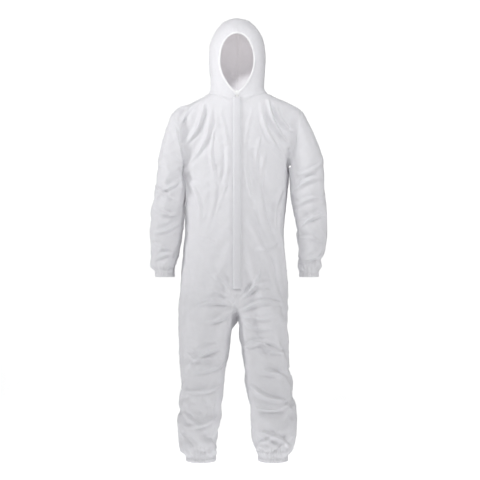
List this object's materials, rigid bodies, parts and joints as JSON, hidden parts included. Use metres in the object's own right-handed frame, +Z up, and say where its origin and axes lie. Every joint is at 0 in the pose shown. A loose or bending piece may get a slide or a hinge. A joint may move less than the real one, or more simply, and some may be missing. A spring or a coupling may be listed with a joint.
{
  "type": "hooded protective coverall",
  "caption": "White disposable hooded coverall with a zip under a storm flap, elasticated face opening, cuffs, waist and ankles, and sleeves, legs and hood that fold.",
  "frame": {"origin": "on the ground, midway between the two leg hems, under the middle of the suit", "axes": "+Z up, -Y towards the front with the zip, +X towards the wearer's left"},
  "size_m": [0.7032, 0.263, 1.7715],
  "materials": {
    "fabric": "matt white nonwoven laminate, faintly embossed and softly creased",
    "face_binding": "the same laminate folded into a narrow gathered hem",
    "elastic": "off-white elastic braid",
    "zip_tape": "white woven polyester tape",
    "zip_nylon": "white nylon coil and painted slider",
    "adhesive": "pale double-sided tape"
  },
  "bodies": {
    "torso": {"left_front_panel": "fabric", "right_front_panel": "fabric", "left_back_panel": "fabric", "right_back_panel": "fabric", "waist_elastic": "elastic", "zip_tape_left": "zip_tape", "zip_tape_right": "zip_tape", "zip_chain_left": "zip_nylon", "zip_chain_right": "zip_nylon", "zip_top_stop_left": "zip_nylon", "zip_top_stop_right": "zip_nylon", "zip_bottom_stop": "zip_nylon"},
    "flap": {"storm_flap": "fabric", "flap_adhesive": "adhesive"},
    "slider": {"zip_slider": "zip_nylon"},
    "pull": {"zip_pull": "zip_nylon"},
    "hood": {"left_hood_panel": "fabric", "right_hood_panel": "fabric", "face_hem": "face_binding", "face_elastic": "elastic"},
    "left_upper_arm": {"left_upper_sleeve": "fabric"},
    "left_forearm": {"left_forearm_sleeve": "fabric", "left_cuff_hem": "fabric", "left_cuff_elastic": "elastic"},
    "left_thigh": {"left_thigh_front": "fabric", "left_thigh_back": "fabric"},
    "left_lower_leg": {"left_shin_front": "fabric", "left_shin_back": "fabric", "left_ankle_hem": "fabric", "left_ankle_elastic": "elastic"},
    "right_upper_arm": {"right_upper_sleeve": "fabric"},
    "right_forearm": {"right_forearm_sleeve": "fabric", "right_cuff_hem": "fabric", "right_cuff_elastic": "elastic"},
    "right_thigh": {"right_thigh_front": "fabric", "right_thigh_back": "fabric"},
    "right_lower_leg": {"right_shin_front": "fabric", "right_shin_back": "fabric", "right_ankle_hem": "fabric", "right_ankle_elastic": "elastic"}
  },
  "joints": [
    {"name": "left_shoulder", "type": "hinge", "parent": "torso", "child": "left_upper_arm", "pos_m": [0.256, 0, 1.393], "axis": [0, -1, 0], "range_deg": [0, 50]},
    {"name": "left_elbow", "type": "hinge", "parent": "left_upper_arm", "child": "left_forearm", "pos_m": [0.286, 0, 1.004], "axis": [-1, 0, 0], "range_deg": [0, 90]},
    {"name": "left_hip", "type": "hinge", "parent": "torso", "child": "left_thigh", "pos_m": [0.106, 0, 0.68], "axis": [-1, 0, 0], "range_deg": [0, 40]},
    {"name": "left_knee", "type": "hinge", "parent": "left_thigh", "child": "left_lower_leg", "pos_m": [0.122, 0, 0.41], "axis": [1, 0, 0], "range_deg": [0, 90]},
    {"name": "right_shoulder", "type": "hinge", "parent": "torso", "child": "right_upper_arm", "pos_m": [-0.256, 0, 1.393], "axis": [0, 1, 0], "range_deg": [0, 50]},
    {"name": "right_elbow", "type": "hinge", "parent": "right_upper_arm", "child": "right_forearm", "pos_m": [-0.286, 0, 1.004], "axis": [-1, 0, 0], "range_deg": [0, 90]},
    {"name": "right_hip", "type": "hinge", "parent": "torso", "child": "right_thigh", "pos_m": [-0.106, 0, 0.68], "axis": [-1, 0, 0], "range_deg": [0, 40]},
    {"name": "right_knee", "type": "hinge", "parent": "right_thigh", "child": "right_lower_leg", "pos_m": [-0.122, 0, 0.41], "axis": [1, 0, 0], "range_deg": [0, 90]},
    {"name": "hood_tip", "type": "hinge", "parent": "torso", "child": "hood", "pos_m": [0, 0.084, 1.478], "axis": [-1, 0, 0], "range_deg": [0, 70]},
    {"name": "flap_hinge", "type": "hinge", "parent": "torso", "child": "flap", "pos_m": [-0.0208, -0.1223, 0.68], "axis": [0, -0.0414, -0.9991], "range_deg": [0, 110]},
    {"name": "zip_slide", "type": "slide", "parent": "torso", "child": "slider", "axis": [0, -0.0414, -0.9991], "range_m": [0, 0.73]},
    {"name": "pull_swing", "type": "hinge", "parent": "slider", "child": "pull", "pos_m": [0, -0.08896, 1.46499], "axis": [-1, 0, 0], "range_deg": [0, 120]}
  ]
}
